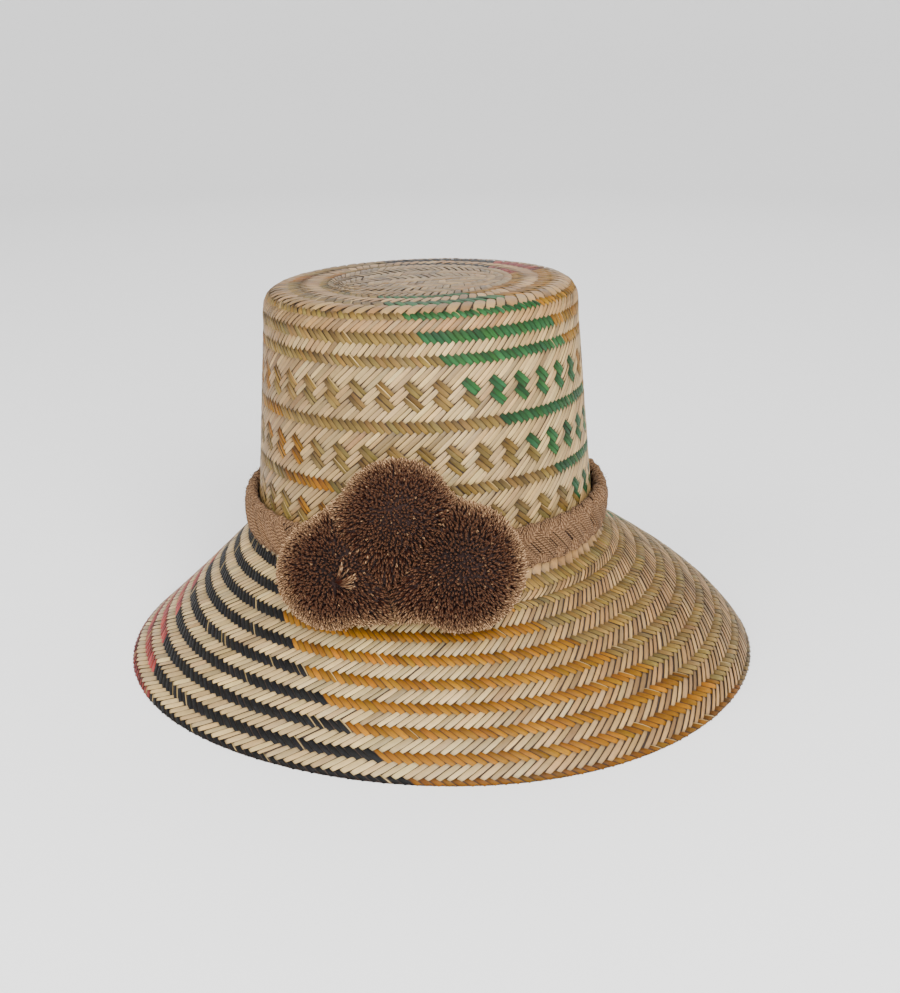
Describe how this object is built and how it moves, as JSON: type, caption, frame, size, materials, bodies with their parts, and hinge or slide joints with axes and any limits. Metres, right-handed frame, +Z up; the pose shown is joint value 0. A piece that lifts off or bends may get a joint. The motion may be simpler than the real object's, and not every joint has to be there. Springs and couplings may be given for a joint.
{
  "type": "woven straw hat with pompoms",
  "caption": "Woven straw hat with a tall flat-topped crown, a sloping round brim, a thick braided wool band and a cluster of cut-wool pompoms, worn on the head.",
  "frame": {"origin": "centre of the rim, on the surface the rim rests on", "axes": "+Z up, towards the top of the crown; -Y to the front, where the pompoms are; +X along the rim's longer width"},
  "size_m": [0.3517, 0.3405, 0.2079],
  "materials": {
    "straw": "woven natural straw with rows of dyed straw, satin sheen",
    "band_wool": "braided brown wool yarn, matte and slightly felted",
    "pompom_wool": "cut dark brown wool yarn with paler tips, matte"
  },
  "bodies": {
    "root": {"straw_body": "straw", "braided_band": "band_wool", "pompom_left": "pompom_wool", "pompom_right": "pompom_wool", "pompom_top": "pompom_wool"}
  },
  "joints": []
}
